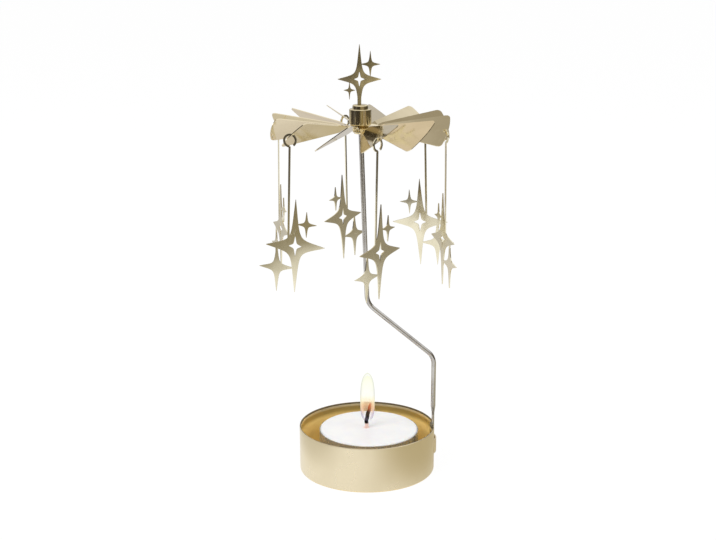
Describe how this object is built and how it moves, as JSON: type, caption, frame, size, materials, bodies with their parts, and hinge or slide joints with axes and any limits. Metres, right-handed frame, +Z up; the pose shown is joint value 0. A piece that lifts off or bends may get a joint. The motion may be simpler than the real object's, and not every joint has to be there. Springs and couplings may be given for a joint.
{
  "type": "rotary candle carousel",
  "caption": "Tealight carousel: a cup holds a bent wire post, on whose point a windmill with hooked star pendants turns in the rising heat.",
  "frame": {"origin": "centre of the cup's underside, on the surface it stands on", "axes": "+Z up, +X towards the post's foot, -Y towards the side that the figure on top faces"},
  "size_m": [0.0729, 0.082, 0.1629],
  "materials": {
    "champagne_gold": "satin champagne gold outside, deeper gold inside",
    "post_steel": "drawn steel wire, lightly polished",
    "stamped_gold": "bright stamped sheet, pale gold",
    "mirror_brass": "turned and mirror polished",
    "star_gold": "etched sheet, mirror polished",
    "bearing_steel": "hardened and polished",
    "tealight_foil": "thin bright foil",
    "wax": "white paraffin wax, slightly glossy",
    "wick": "charred cotton",
    "sustainer_steel": "tinned sheet"
  },
  "bodies": {
    "holder": {"candle_cup": "champagne_gold"},
    "post": {"post": "post_steel"},
    "carousel": {"windmill": "stamped_gold", "hub_cap": "mirror_brass", "hub_collar": "mirror_brass", "bearing_cup": "bearing_steel", "figure_plug": "mirror_brass", "top_star": "star_gold"},
    "tealight": {"tealight_cup": "tealight_foil", "tealight_wax": "wax", "tealight_wick": "wick", "wick_sustainer": "sustainer_steel"},
    "pendant_1": {"pendant_1": "star_gold"},
    "pendant_2": {"pendant_2": "star_gold"},
    "pendant_3": {"pendant_3": "star_gold"},
    "pendant_4": {"pendant_4": "star_gold"},
    "pendant_5": {"pendant_5": "star_gold"},
    "pendant_6": {"pendant_6": "star_gold"}
  },
  "joints": [
    {"name": "post_lift", "type": "slide", "parent": "holder", "child": "post", "axis": [0, 0, 1], "range_m": [0, 0.016]},
    {"name": "rotor_spin", "type": "hinge", "parent": "post", "child": "carousel", "pos_m": [-0.00265, 0, 0.1328], "axis": [0, 0, 1], "continuous": true},
    {"name": "tealight_lift", "type": "slide", "parent": "holder", "child": "tealight", "axis": [0, 0, 1], "range_m": [0, 0.02]},
    {"name": "pendant_1_swing", "type": "hinge", "parent": "carousel", "child": "pendant_1", "pos_m": [0.02205, 0.02109, 0.13095], "axis": [0.1977, 0.9803, 0], "range_deg": [-25, 25]},
    {"name": "pendant_2_swing", "type": "hinge", "parent": "carousel", "child": "pendant_2", "pos_m": [-0.00857, 0.03193, 0.13095], "axis": [-0.7501, 0.6613, 0], "range_deg": [-25, 25]},
    {"name": "pendant_3_swing", "type": "hinge", "parent": "carousel", "child": "pendant_3", "pos_m": [-0.03326, 0.01084, 0.13095], "axis": [-0.9478, -0.319, 0], "range_deg": [-25, 25]},
    {"name": "pendant_4_swing", "type": "hinge", "parent": "carousel", "child": "pendant_4", "pos_m": [-0.02735, -0.02109, 0.13095], "axis": [-0.1977, -0.9803, 0], "range_deg": [-25, 25]},
    {"name": "pendant_5_swing", "type": "hinge", "parent": "carousel", "child": "pendant_5", "pos_m": [0.00327, -0.03193, 0.13095], "axis": [0.7501, -0.6613, 0], "range_deg": [-25, 25]},
    {"name": "pendant_6_swing", "type": "hinge", "parent": "carousel", "child": "pendant_6", "pos_m": [0.02796, -0.01084, 0.13095], "axis": [0.9478, 0.319, 0], "range_deg": [-25, 25]}
  ]
}
